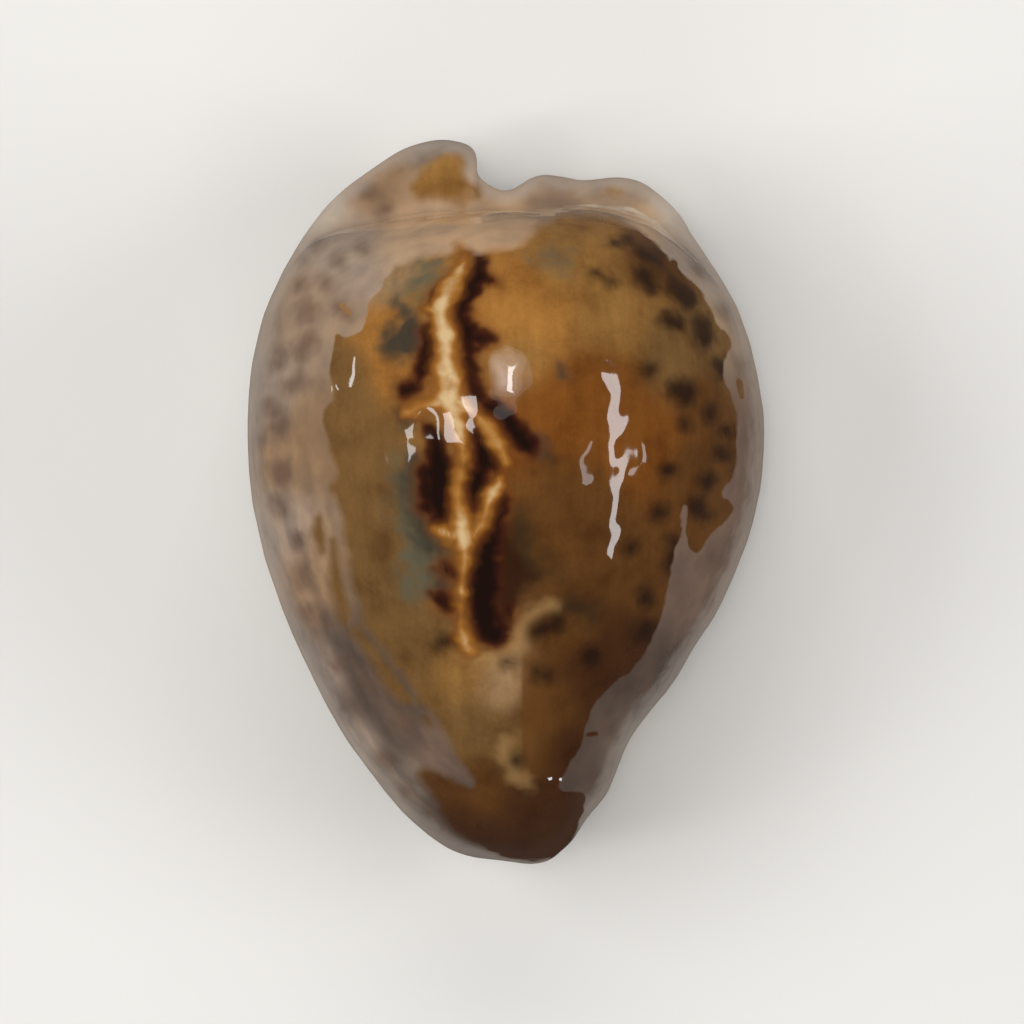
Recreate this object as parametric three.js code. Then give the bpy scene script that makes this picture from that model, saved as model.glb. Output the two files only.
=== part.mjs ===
// A teuleres cowrie shell: one hollow piece with a humped back, a thick rounded margin, a flat base and
// a long smooth aperture that opens through a canal at each end.
// Millimetres. +Z up, the back of the shell on top; +Y towards the broad hind end, -Y to the narrow front
// end. The origin is on the surface that the shell rests on, under the middle of its outline.
import * as THREE from "three";

// The outline seen from above, anticlockwise from the hind notch: the tall lobe, the left side, the
// front tip, the right side and the low wavy lobe. The points are closer where it turns more sharply.
const outlinePoints = [
  [-0.3, 21.4], [-1.4, 21.95], [-2.05, 22.7], [-2.1, 23.6], [-2.5, 24.5], [-3.9, 24.95],
  [-5.8, 24.75], [-8.1, 23.75], [-10.8, 21.9], [-13.2, 19.4], [-15.2, 16.2], [-16.8, 12.6],
  [-17.6, 8.6], [-17.8, 4.4], [-17.4, -0.4], [-16.1, -5.4], [-14.2, -10.2], [-11.9, -14.8],
  [-9.3, -18.6], [-6.6, -21.8], [-3.6, -24.0], [-0.6, -24.65], [1.9, -24.95], [3.4, -24.4],
  [4.6, -23.2], [5.6, -21.6], [6.8, -20.1], [7.6, -18.4], [8.4, -16.4], [9.6, -14.7],
  [11.3, -12.6], [12.9, -10.0], [14.7, -7.1], [16.1, -3.9], [17.1, -0.6], [17.75, 4.0],
  [17.3, 8.4], [16.2, 12.6], [14.8, 15.3], [13.3, 17.6], [12.1, 19.5], [11.1, 20.7],
  [9.9, 21.7], [8.6, 22.3], [7.2, 22.4], [5.5, 22.2], [4.0, 22.4], [2.6, 22.55],
  [1.5, 22.2], [0.7, 21.65],
];
const notchIndex = 0; // the outline point over the hind canal
const tipIndex = 22; // the outline point over the front canal

// The back is a dome. At the sides it comes down to the outline. At the hind end its foot stands inside
// the outline, along the points of hindFoot from the left side round to the right one.
const dome = {
  hindFoot: [
    [-15.3, 14.6], [-12.6, 17.3], [-9.3, 19.1], [-5.9, 19.9], [-2.9, 20.0], [-0.3, 20.0],
    [2.4, 20.2], [5.6, 20.4], [9.2, 19.6], [12.2, 16.9], [15.7, 12.5],
  ],
  sideShare: 0.985, // the ring of the outline that the dome comes down to at the sides
  sideStart: 12, // how far along the outline from the notch its foot starts to move out to that ring
  sideEnd: 22,
  meanFootHeight: 7.5,
  height: 27.2, // over the middle of the shell
  backLean: 0.17, // how much higher it stands for each millimetre towards the hind end
  fullness: 2.25, // 2 is an ellipse, more is squarer
};

// The rounded margin. Each value is given over the hind notch, at the tall left lobe and the low right
// lobe, along the sides and over the front tip.
const margin = {
  equatorHeight: { notch: 9.0, left: 7.2, right: 6.6, side: 7.6, tip: 6.2 }, // where the shell is widest
  rollHeight: { notch: 1.9, left: 4.8, right: 3.4, side: 0, tip: 0 }, // above that, outside the dome
  creaseBlend: { notch: 2.5, left: 6.0, right: 4.5, side: 0.6, tip: 0.6 }, // how softly they meet
  notchReach: 3.8, // how far along the outline the notch's and the tip's values reach
  tipReach: 3.4,
  lobeReach: 22, // and how far the lobes' values reach from the notch
};

// The flat base, and how its two ends lift clear of the surface.
const base = {
  rollShare: 0.55, // the share of the way from the outline to the aperture taken by the lower roll
  longestRoll: 8.0,
  lipShare: 0.35, // and the most that is taken by the lip
  flatHalfLength: 11,
  endLift: 0.014, // grows with the square of the distance past flatHalfLength
  narrowLift: 3.0, // rounds the ends of the lips, where the base is narrower than narrowWidth
  narrowWidth: 6.5,
};

// The aperture, from its hind end to its front end, and the lips that roll into it.
const aperture = {
  centrePoints: [[-0.6, 18.6], [-1.7, 13], [-2.3, 6], [-2.2, -3], [-1.1, -12], [0.4, -18], [1.5, -21.6]],
  halfWidths: [1.7, 1.9, 2.25, 2.45, 2.75, 3.0, 2.5], // at each of those points
  endRounding: 1.5, // how far its two ends bulge past those points
  lipRadius: 1.9,
  lipThickness: 4.4,
};

// The canal at each end: its half width along the outline, and the height of its roof.
const canals = {
  hind: { halfWidth: 1.7, roof: 7.9 },
  front: { halfWidth: 2.3, roof: 5.7 },
};

// The hollow inside.
const hollow = {
  widestShare: 0.83, // its widest ring, as a share of the dome's foot
  widestHeight: 9.6,
  floorHeight: 5.8,
  lipShare: 0.25, // the share of the way out to the widest ring that the lip's inner edge takes
  wall: 2.6, // thickness at the top of the back
  fullness: 0.6, // lower is squarer
};

// How finely the surface is faceted: columns run round the shell, rings run from the back to the inside.
const columnCount = 92;
const tipCrowding = 2.4; // how much closer the columns stand at the front canal
const ringCounts = { dome: 18, roll: 5, lowerRoll: 5, flat: 3, lip: 4, floor: 7, ceiling: 10 };

const { PI, abs, cos, exp, floor, hypot, max, min, sin } = Math;
const quarterTurn = PI / 2;
const mix = (a, b, share) => a + (b - a) * share;
const mixPoints = (a, b, share) => [mix(a[0], b[0], share), mix(a[1], b[1], share)];
const smoothStep = (low, high, value) => THREE.MathUtils.smoothstep(value, low, high);

function smoothMax(a, b, blend) {
  const overlap = max(0, 1 - abs(a - b) / blend);
  return max(a, b) + (overlap * overlap * blend) / 4;
}

// The value of a list at a place between two of its entries, on a smooth curve through them.
function smoothLookup(list, place) {
  const here = min(floor(place), list.length - 2);
  const entry = (i) => list[min(max(i, 0), list.length - 1)];
  const [a, b, c, d] = [entry(here - 1), entry(here), entry(here + 1), entry(here + 2)];
  const t = place - here;
  return b + 0.5 * t * (c - a + t * (2 * a - 5 * b + 4 * c - d + t * (3 * (b - c) + d - a)));
}

function flatCurve(points, closed) {
  const places = points.map(([x, y]) => new THREE.Vector3(x, y, 0));
  return new THREE.CatmullRomCurve3(places, closed, "catmullrom", 0.5);
}

// A closed curve as a sum of turning circles. Shrinking each circle by its order gives rings that grow
// smoother inwards, so that the notch and the lobes fade out as the surface climbs.
const sampleCount = 300;
const highestOrder = 36;

function circlesOf(pointAt) {
  const samples = Array.from({ length: sampleCount }, (_, i) => pointAt(i / sampleCount));
  const orders = Array.from({ length: 2 * highestOrder + 1 }, (_, i) => i - highestOrder);
  return orders.map((order) => {
    const circle = { order, x: 0, y: 0 };
    samples.forEach(([x, y], i) => {
      const turn = (-2 * PI * order * i) / sampleCount;
      circle.x += (x * cos(turn) - y * sin(turn)) / sampleCount;
      circle.y += (x * sin(turn) + y * cos(turn)) / sampleCount;
    });
    return circle;
  });
}

function ringPoint(circles, share, u) {
  let x = 0;
  let y = 0;
  for (const circle of circles) {
    const size = share ** abs(circle.order);
    const turn = 2 * PI * circle.order * u;
    x += size * (circle.x * cos(turn) - circle.y * sin(turn));
    y += size * (circle.x * sin(turn) + circle.y * cos(turn));
  }
  return [x, y];
}

const outlineCurve = flatCurve(outlinePoints, true);
const outlineCircles = circlesOf((u) => {
  const { x, y } = outlineCurve.getPoint(u);
  return [x, y];
});

// Distances along the outline, from its first point.
const lengths = outlineCurve.getLengths(sampleCount);
const lengthAt = (u) => smoothLookup(lengths, u * sampleCount);
const notchLength = lengthAt(notchIndex / outlinePoints.length);
const tipLength = lengthAt(tipIndex / outlinePoints.length);
const wholeLength = lengths[sampleCount];

// The dome's foot, from the hind curve round to the sides. The middle of the curve is at the notch.
const hindFootCurve = flatCurve(dome.hindFoot, false);
const footCircles = circlesOf((u) => {
  const along = lengthAt(u);
  const left = along < tipLength;
  const fromNotch = left ? along - notchLength : wholeLength - along;
  const place = 0.5 + (left ? -0.5 : 0.5) * min(1, fromNotch / dome.sideEnd);
  const { x, y } = hindFootCurve.getPoint(place);
  const sideFoot = ringPoint(outlineCircles, dome.sideShare, u);
  return mixPoints([x, y], sideFoot, smoothStep(dome.sideStart, dome.sideEnd, fromNotch));
});

// The aperture's edge beside a column: across a canal at each end, and along a lip between them.
const slitCurve = flatCurve(aperture.centrePoints, false);

function slitPoint(left, fromNotch, fromTip) {
  const { hind, front } = canals;
  const straight = fromNotch + fromTip - hind.halfWidth - front.halfWidth;
  const along = min(1, max(0, (fromNotch - hind.halfWidth) / straight));
  const halfWidth = smoothLookup(aperture.halfWidths, along * (aperture.halfWidths.length - 1));
  const turn = quarterTurn * min(1, fromNotch / hind.halfWidth, fromTip / front.halfWidth);
  const bulge = (fromNotch < fromTip ? 1 : -1) * aperture.endRounding * cos(turn);
  const centre = slitCurve.getPoint(along);
  return [centre.x + (left ? -1 : 1) * halfWidth * sin(turn), centre.y + bulge];
}

// Everything that the rings need to know about one column.
function columnAt(u) {
  const along = lengthAt(u);
  const left = along < tipLength;
  const fromNotch = left ? along - notchLength : wholeLength - along;
  const fromTip = abs(along - tipLength);
  const outline = ringPoint(outlineCircles, 1, u);
  const slit = slitPoint(left, fromNotch, fromTip);
  const canal = fromNotch < fromTip ? canals.hind : canals.front;
  const lobes = 1 - smoothStep(0, margin.lobeReach, fromNotch);
  const notch = exp(-((fromNotch / margin.notchReach) ** 2));
  const tip = exp(-((fromTip / margin.tipReach) ** 2));
  const byPlace = (values) => {
    const lobe = left ? values.left : values.right;
    return mix(mix(mix(values.side, lobe, lobes), values.notch, notch), values.tip, tip);
  };
  return {
    u,
    outline,
    slit,
    foot: ringPoint(footCircles, 1, u),
    footShare: mix(1, dome.sideShare, smoothStep(dome.sideStart, dome.sideEnd, fromNotch)),
    widest: ringPoint(footCircles, hollow.widestShare, u),
    baseWidth: hypot(slit[0] - outline[0], slit[1] - outline[1]),
    canalRoof: canal.roof,
    canalShare: 1 - smoothStep(0.3, 2.3, min(fromNotch, fromTip) / canal.halfWidth),
    equator: byPlace(margin.equatorHeight),
    rollHeight: byPlace(margin.rollHeight),
    creaseBlend: byPlace(margin.creaseBlend),
  };
}

// The columns, evenly spaced on the outline's own points but closer together at the front tip.
function columnList() {
  const tipPlace = tipIndex / outlinePoints.length;
  const tipReach = 0.045;
  const density = (u) => 1 + tipCrowding * exp(-(((u - tipPlace) / tipReach) ** 2));
  const summed = [0];
  for (let i = 0; i < sampleCount; i++) summed.push(summed[i] + density((i + 0.5) / sampleCount));
  return Array.from({ length: columnCount }, (_, column) => {
    const target = (column / columnCount) * summed[sampleCount];
    const before = summed.findLastIndex((value) => value <= target);
    const share = (target - summed[before]) / (summed[before + 1] - summed[before]);
    return columnAt((before + share) / sampleCount);
  });
}

// The height of the back: the dome, joined to the margin's roll with a crease that is sharp at the low
// lobe. The share runs from the middle of the dome to the outline, and the turn round the roll.
function backHeight(column, y, share, turn) {
  const arch = max(0, 1 - share ** dome.fullness) ** (1 / dome.fullness);
  const top = dome.height + dome.backLean * y;
  const foot = mix(dome.meanFootHeight, column.equator, share ** 4);
  const roll = column.equator + column.rollHeight * cos(turn);
  return smoothMax(mix(foot, top, arch), roll, column.creaseBlend * max(0.001, cos(turn)));
}

function domePoint(column, share) {
  const [x, y] = ringPoint(footCircles, share, column.u);
  return [x, y, backHeight(column, y, share * column.footShare, 0)];
}

// The roll of the margin, from the dome's foot down to the outline.
function rollPoint(column, turn) {
  const [x, y] = mixPoints(column.foot, column.outline, sin(turn));
  return [x, y, backHeight(column, y, mix(column.footShare, 1, sin(turn)), turn)];
}

// A point of the base, part of the way from the outline to the aperture. At a canal it is on its roof.
function basePoint(column, share, rise) {
  const [x, y] = mixPoints(column.outline, column.slit, share);
  const narrow = 1 - smoothStep(0, base.narrowWidth, column.baseWidth);
  const bottom = base.endLift * max(0, abs(y) - base.flatHalfLength) ** 2 + base.narrowLift * narrow;
  const roof = mix(column.equator, column.canalRoof, min(1, 2 * share));
  return [x, y, mix(bottom + rise * (1 - bottom / column.equator), roof, column.canalShare)];
}

const lowerRollEnd = (column) => min(base.rollShare, base.longestRoll / column.baseWidth);
const lipStart = (column) => 1 - min(base.lipShare, aperture.lipRadius / column.baseWidth);

const lowerRollPoint = (column, turn) =>
  basePoint(column, lowerRollEnd(column) * (1 - cos(turn)), column.equator * (1 - sin(turn)));

const flatPoint = (column, along) => basePoint(column, mix(lowerRollEnd(column), lipStart(column), along), 0);

const lipPoint = (column, turn) =>
  basePoint(column, mix(lipStart(column), 1, sin(turn)), aperture.lipRadius * (1 - cos(turn)));

// Up the throat, over the lip's inner edge, and out along the floor of the hollow to its widest ring.
function floorPoint(column, along) {
  const inward = min(1, 2 * along) * quarterTurn;
  const outward = max(0, 2 * along - 1) * quarterTurn;
  const [x, y] = mixPoints(
    column.slit, column.widest, hollow.lipShare * (1 - cos(inward)) + (1 - hollow.lipShare) * sin(outward));
  const height = aperture.lipThickness + (hollow.floorHeight - aperture.lipThickness) * sin(inward)
    + (hollow.widestHeight - hollow.floorHeight) * (1 - cos(outward));
  return [x, y, mix(height, mix(column.canalRoof, hollow.widestHeight, along), column.canalShare)];
}

// The hollow's ceiling, one wall's thickness under the back.
function ceilingPoint(column, turn) {
  const [x, y, back] = domePoint(column, hollow.widestShare * cos(turn));
  return [x, y, mix(hollow.widestHeight, back - hollow.wall, sin(turn) ** hollow.fullness)];
}

// Every ring in order, from the middle of the back round to the middle of the hollow's ceiling.
function ringList() {
  const steps = (count, point) =>
    Array.from({ length: count }, (_, i) => (column) => point(column, (i + 1) / count));
  return [
    ...steps(ringCounts.dome, (column, t) => domePoint(column, sin(quarterTurn * t))),
    ...steps(ringCounts.roll, (column, t) => rollPoint(column, quarterTurn * t)),
    ...steps(ringCounts.lowerRoll, (column, t) => lowerRollPoint(column, quarterTurn * t)),
    ...steps(ringCounts.flat, flatPoint),
    ...steps(ringCounts.lip, (column, t) => lipPoint(column, quarterTurn * t)),
    ...steps(ringCounts.floor, floorPoint),
    ...steps(ringCounts.ceiling, (column, t) => ceilingPoint(column, quarterTurn * t)).slice(0, -1),
  ];
}

// The rings joined into one closed surface, with one point at each end.
function shellGeometry() {
  const columns = columnList();
  const rings = ringList();
  const points = [domePoint(columns[0], 0)];
  for (const ring of rings) points.push(...columns.map(ring));
  points.push(ceilingPoint(columns[0], quarterTurn));
  const backPole = 0;
  const innerPole = points.length - 1;
  const at = (ring, column) => 1 + ring * columnCount + (column % columnCount);
  const faces = [];
  for (let c = 0; c < columnCount; c++) {
    faces.push(backPole, at(0, c), at(0, c + 1));
    for (let r = 0; r + 1 < rings.length; r++) {
      faces.push(at(r, c), at(r + 1, c), at(r + 1, c + 1));
      faces.push(at(r, c), at(r + 1, c + 1), at(r, c + 1));
    }
    faces.push(innerPole, at(rings.length - 1, c + 1), at(rings.length - 1, c));
  }
  const geometry = new THREE.BufferGeometry();
  geometry.setAttribute("position", new THREE.Float32BufferAttribute(points.flat(), 3));
  geometry.setIndex(faces);
  geometry.computeVertexNormals();
  return geometry;
}

const enamel = new THREE.MeshStandardMaterial({ color: 0x7a5a38, roughness: 0.15, metalness: 0 });
const shell = new THREE.Mesh(shellGeometry(), enamel);
shell.name = "shell";

const cowrie = new THREE.Group();
cowrie.add(shell);

export default cowrie;
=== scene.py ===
import math

import bpy
import numpy as np
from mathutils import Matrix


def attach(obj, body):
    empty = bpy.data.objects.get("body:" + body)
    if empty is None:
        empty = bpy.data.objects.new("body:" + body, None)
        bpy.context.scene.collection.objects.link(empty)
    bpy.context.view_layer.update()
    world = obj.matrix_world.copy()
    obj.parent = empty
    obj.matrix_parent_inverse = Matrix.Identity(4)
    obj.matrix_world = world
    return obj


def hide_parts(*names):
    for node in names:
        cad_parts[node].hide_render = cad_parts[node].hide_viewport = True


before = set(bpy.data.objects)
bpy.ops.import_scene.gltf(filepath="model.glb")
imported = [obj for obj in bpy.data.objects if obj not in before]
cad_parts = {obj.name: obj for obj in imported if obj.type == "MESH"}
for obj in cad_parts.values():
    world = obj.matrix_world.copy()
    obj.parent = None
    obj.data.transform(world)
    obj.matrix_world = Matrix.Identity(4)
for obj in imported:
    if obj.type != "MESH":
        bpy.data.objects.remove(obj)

# A cowrie shell lying on its base, seen from above.
# Its form and markings are given in millimetres, and turned into metres when the mesh is made.
mm = 0.001
quarterTurn = math.pi / 2
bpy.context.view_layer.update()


# The studio: camera, lamps and floor

studio = {
    "pictureCentre": (0.38, -0.66),  # mm, the place under the middle of the picture
    "pictureWidth": 70.7,  # mm, measured where the shell is widest
    "widestHeight": 7.5,  # mm
    "cameraDistance": 500,  # mm, from that height
    "sensor": 36,  # mm
    "floorTone": (222, 220, 216),
    "floorRoughness": 0.7,
    "floorReach": 3.0,  # m
    # name, place in mm, size level and upwards in mm, brightness, and whether the glaze mirrors it
    "lamps": [
        ("rightStrip", (480, -90, 310), (470, 54), 9, True),
        ("rightOuter", (539, -114, 239), (70, 46), 5, True),
        ("rightInner", (354, -179, 451), (60, 24), 4, True),
        ("leftOuter", (-476, -118, 345), (64, 88), 8, True),
        ("leftMiddle", (-410, -103, 422), (100, 26), 9, True),
        ("leftInner", (-329, -100, 489), (110, 70), 9, True),
        ("overhead", (-30, 4, 597), (130, 40), 13, True),
        ("tipLamp", (190, -560, 40), (30, 36), 13, True),
        ("lowLeft", (-584, 115, 110), (50, 20), 10, True),
        ("leftSoft", (-480, 60, 400), (500, 300), 4.3, False),
        ("rightSoft", (520, 20, 330), (400, 240), 3.6, False),
        ("hindSoft", (0, 520, 400), (500, 300), 3.4, False),
        ("frontSoft", (-60, -540, 340), (400, 200), 3.4, False),
    ],
    # the faint patch round the overhead lamp's mirror image, of nested lamps so that it fades out
    "glow": {"place": (-78, 20, 597), "size": (270, 310), "brightness": 4.5, "layers": 6},
    "skyTone": 0.08,
}


def makeCamera():
    lens = bpy.data.cameras.new("camera")
    lens.sensor_width = studio["sensor"]
    lens.lens = studio["sensor"] * studio["cameraDistance"] / studio["pictureWidth"]
    lens.clip_start = 0.01
    lens.clip_end = 20
    camera = bpy.data.objects.new("camera", lens)
    x, y = studio["pictureCentre"]
    height = studio["widestHeight"] + studio["cameraDistance"]
    camera.location = (x * mm, y * mm, height * mm)  # looks straight down, with +Y up the picture
    bpy.context.collection.objects.link(camera)
    bpy.context.scene.camera = camera


def makeLamp(name, place, size, brightness, mirrored, shape="RECTANGLE"):
    light = bpy.data.lights.new(name, "AREA")
    light.shape = shape
    light.size, light.size_y = size[0] * mm, size[1] * mm
    light.energy = brightness * math.pi * light.size * light.size_y
    lamp = bpy.data.objects.new(name, light)
    lamp.location = [v * mm for v in place]
    aim = -lamp.location
    lamp.rotation_euler = aim.to_track_quat("-Z", "Y").to_euler()
    lamp.visible_glossy = mirrored
    bpy.context.collection.objects.link(lamp)


def linear(tone):  # a display tone of 0 to 255 as light
    return tuple((v / 255 / 12.92) if v <= 10 else ((v / 255 + 0.055) / 1.055) ** 2.4 for v in tone)


class Value:  # a socket that takes part in sums
    def __init__(self, graph, socket):
        self.graph = graph
        self.socket = socket

    def maths(self, operation, first, second):
        return self.graph.node("ShaderNodeMath", {"operation": operation}, {0: first, 1: second})

    def __add__(self, other):
        return self.maths("ADD", self, other)

    __radd__ = __add__

    def __sub__(self, other):
        return self.maths("SUBTRACT", self, other)

    def __rsub__(self, other):
        return self.maths("SUBTRACT", other, self)

    def __mul__(self, other):
        return self.maths("MULTIPLY", self, other)

    def __truediv__(self, other):
        return self.maths("DIVIDE", self, other)

    def __rtruediv__(self, other):
        return self.maths("DIVIDE", other, self)


class Graph:  # a node tree, and the few kinds of step that it's built from
    def __init__(self, tree):
        self.tree = tree
        tree.nodes.clear()

    def node(self, kind, settings=None, sockets=None, output=0):
        made = self.tree.nodes.new(kind)
        for name, setting in (settings or {}).items():
            if name == "stops":
                self.setStops(made.color_ramp, setting)
            else:
                setattr(made, name, setting)
        for key, given in (sockets or {}).items():
            if isinstance(given, Value):
                self.tree.links.new(given.socket, made.inputs[key])
            else:
                made.inputs[key].default_value = given
        return Value(self, made.outputs[output]) if len(made.outputs) else made

    def setStops(self, ramp, stops):
        while len(ramp.elements) < len(stops):
            ramp.elements.new(1.0)
        for element, (place, colour) in zip(ramp.elements, stops):
            element.position = place
            element.color = (*colour, 1)

    def attribute(self, name, colour=False):
        return self.node("ShaderNodeAttribute", {"attribute_name": name}, output=0 if colour else 2)

    def between(self, value, low, high):  # 0 at low, 1 at high, eased
        sockets = {"Value": value, "From Min": low, "From Max": high}
        return self.node("ShaderNodeMapRange", {"interpolation_type": "SMOOTHSTEP"}, sockets)

    def mix(self, share, first, second, blend="MIX"):
        settings = {"data_type": "RGBA", "blend_type": blend, "clamp_factor": True}
        return self.node("ShaderNodeMix", settings, {0: share, 6: first, 7: second}, output=2)

    def noise(self, place, size, detail=2.0, roughness=0.5):  # size in metres
        sockets = {"Vector": place, "Scale": 1 / size, "Detail": detail, "Roughness": roughness}
        return self.node("ShaderNodeTexNoise", None, sockets)


def paint(tone):
    return (*linear(tone), 1)


def makeFloor():
    mesh = bpy.data.meshes.new("floor")
    corners = [(x * studio["floorReach"], y * studio["floorReach"], 0) for x, y in
               ((-1, -1), (1, -1), (1, 1), (-1, 1))]
    mesh.from_pydata(corners, [], [(0, 1, 2, 3)])
    floor = bpy.data.objects.new("floor", mesh)
    bpy.context.collection.objects.link(floor)
    material = bpy.data.materials.new("floorPaper")
    material.use_nodes = True
    surface = material.node_tree.nodes["Principled BSDF"]
    surface.inputs["Base Color"].default_value = paint(studio["floorTone"])
    surface.inputs["Roughness"].default_value = studio["floorRoughness"]
    mesh.materials.append(material)
    floor.visible_glossy = False  # so that its edge isn't mirrored as a line round the margin


def makeStudio():
    makeCamera()
    for lamp in studio["lamps"]:
        makeLamp(*lamp)
    glow = studio["glow"]
    for layer in range(glow["layers"]):
        place = [v * (1 + 0.01 * layer) for v in glow["place"]]
        size = [v * (1 - layer / glow["layers"]) for v in glow["size"]]
        makeLamp(f"glow{layer}", place, size, glow["brightness"] / glow["layers"], True, "ELLIPSE")
    makeFloor()
    world = bpy.data.worlds.new("sky")
    world.use_nodes = True
    world.node_tree.nodes["Background"].inputs["Color"].default_value = (*[studio["skyTone"]] * 3, 1)
    bpy.context.scene.world = world
    bpy.context.scene.view_settings.view_transform = "Standard"


makeStudio()
print("studio ready")


# The form of the shell: rings that run from the middle of the back, over the margin, across the base,
# into the aperture and round to the middle of the hollow's ceiling

shell = {
    # the outline from above, anticlockwise from the hind notch
    "outline": [
        (-0.3, 21.4), (-1.4, 21.95), (-2.05, 22.7), (-2.1, 23.6), (-2.5, 24.5), (-3.9, 24.95),
        (-5.8, 24.75), (-8.1, 23.75), (-10.8, 21.9), (-13.2, 19.4), (-15.2, 16.2), (-16.8, 12.6),
        (-17.6, 8.6), (-17.8, 4.4), (-17.4, -0.4), (-16.1, -5.4), (-14.2, -10.2), (-11.9, -14.8),
        (-9.3, -18.6), (-6.6, -21.8), (-3.6, -24.0), (-0.6, -24.65), (1.9, -24.95), (3.4, -24.4),
        (4.6, -23.2), (5.6, -21.6), (6.8, -20.1), (7.6, -18.4), (8.4, -16.4), (9.6, -14.7),
        (11.3, -12.6), (12.9, -10.0), (14.7, -7.1), (16.1, -3.9), (17.1, -0.6), (17.75, 4.0),
        (17.3, 8.4), (16.2, 12.6), (14.8, 15.3), (13.3, 17.6), (12.1, 19.5), (11.1, 20.7),
        (9.9, 21.7), (8.6, 22.3), (7.2, 22.4), (5.5, 22.2), (4.0, 22.4), (2.6, 22.55),
        (1.5, 22.2), (0.7, 21.65),
    ],
    "notchIndex": 0,
    "tipIndex": 22,
    # the dome's foot at the hind end, from the left side round to the right one
    "hindFoot": [
        (-15.3, 14.6), (-12.6, 17.3), (-9.3, 19.1), (-5.9, 19.9), (-2.9, 20.0), (-0.3, 20.0),
        (2.4, 20.2), (5.6, 20.4), (9.2, 19.6), (12.2, 16.9), (15.7, 12.5),
    ],
    "sideShare": 0.985,  # where the foot lies at the sides, as a share of the outline
    "sideStart": 12,  # mm from the notch, where the hind foot starts to pass into the side's
    "sideEnd": 22,
    "meanFootHeight": 7.5,
    "height": 27.2,  # of the back at y = 0
    "backLean": 0.17,  # mm higher for each mm towards the hind end
    "fullness": 2.25,  # of the arch, 2 for an ellipse
    # the margin's values at the notch, the left and right lobes, the sides and the tip
    "equatorHeight": (9.0, 7.2, 6.6, 7.6, 6.2),
    "rollHeight": (1.9, 4.8, 3.4, 0, 0),
    "creaseBlend": (2.5, 6.0, 4.5, 0.6, 0.6),
    "notchReach": 3.8,
    "tipReach": 3.4,
    "lobeReach": 22,
    # the base
    "rollShare": 0.55,
    "longestRoll": 8.0,
    "lipShare": 0.35,
    "flatHalfLength": 11,
    "endLift": 0.014,
    "narrowLift": 3.0,
    "narrowWidth": 6.5,
    # the aperture and the canals at its hind and front ends
    "slitCentre": [(-0.6, 18.6), (-1.7, 13), (-2.3, 6), (-2.2, -3), (-1.1, -12), (0.4, -18), (1.5, -21.6)],
    "slitHalfWidths": [1.7, 1.9, 2.25, 2.45, 2.75, 3.0, 2.5],
    "slitRounding": 1.5,
    "lipRadius": 1.9,
    "lipThickness": 4.4,
    "canalHalfWidth": (1.7, 2.3),
    "canalRoof": (7.9, 5.7),
    "canalFade": (0.3, 2.3),  # in half widths from the canal's middle
    # the hollow
    "widestShare": 0.83,
    "widestHeight": 9.6,
    "floorHeight": 5.8,
    "innerLipShare": 0.25,
    "wall": 2.6,
    "hollowFullness": 0.6,
    # how finely the surface is made
    "columns": 640,
    "notchCrowding": (1.6, 7),  # how many more columns stand there, and within what reach
    "tipCrowding": (1.2, 6),
    "rings": {"dome": 108, "roll": 8, "lowerRoll": 14, "flat": 6, "lip": 10, "floor": 14, "ceiling": 18},
    "spacingSteps": 4001,
    "sampleCount": 300,
    "highestOrder": 36,
}


def blend(a, b, share):
    return a + (b - a) * share


def ease(low, high, value):
    share = np.clip((value - low) / (high - low), 0, 1)
    return share * share * (3 - 2 * share)


def smoothMax(a, b, width):
    overlap = np.maximum(0, 1 - np.abs(a - b) / width)
    return np.maximum(a, b) + overlap * overlap * width / 4


def curveThrough(points, places, closed=False):  # places count the points from 0
    points = np.array(points, float)
    count = len(points)
    places = np.asarray(places, float)
    last = count - 1 if closed else count - 2
    here = np.clip(np.floor(places).astype(int), 0, last)
    t = (places - here).reshape(places.shape + (1,) * (points.ndim - 1))

    def entry(i):
        if closed:
            return points[i % count]
        inside = points[np.clip(i, 0, count - 1)]
        if points.ndim == 1:
            return inside
        before = (i < 0)[..., None]
        after = (i > count - 1)[..., None]
        inside = np.where(before, 2 * points[0] - points[1], inside)
        return np.where(after, 2 * points[-1] - points[-2], inside)

    a, b, c, d = entry(here - 1), entry(here), entry(here + 1), entry(here + 2)
    return b + 0.5 * t * (c - a + t * (2 * a - 5 * b + 4 * c - d + t * (3 * (b - c) + d - a)))


class Outline:  # a closed curve as a sum of turning circles, which gives smoother rings inwards
    def __init__(self, points):
        spectrum = np.fft.fft(points[:, 0] + 1j * points[:, 1]) / len(points)
        self.orders = np.arange(-shell["highestOrder"], shell["highestOrder"] + 1)
        self.circles = spectrum[self.orders]

    def ring(self, share, u):
        turns = np.exp(2j * math.pi * np.outer(self.orders, u))
        place = (self.circles * share ** np.abs(self.orders)) @ turns
        return place.real, place.imag


samples = np.arange(shell["sampleCount"]) / shell["sampleCount"]
outlinePlaces = curveThrough(shell["outline"], samples * len(shell["outline"]), closed=True)
outline = Outline(outlinePlaces)
steps = np.linalg.norm(np.diff(np.vstack([outlinePlaces, outlinePlaces[:1]]), axis=0), axis=1)
lengths = np.concatenate([[0], np.cumsum(steps)])
wholeLength = lengths[-1]


def lengthAt(u):
    return curveThrough(lengths, np.asarray(u) * shell["sampleCount"])


notchLength = lengthAt(shell["notchIndex"] / len(shell["outline"]))
tipLength = lengthAt(shell["tipIndex"] / len(shell["outline"]))


def fromEnds(u):  # whether left of the notch, and the distances along the outline from notch and tip
    along = lengthAt(u)
    left = along < tipLength
    return left, np.where(left, along - notchLength, wholeLength - along), np.abs(along - tipLength)


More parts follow.
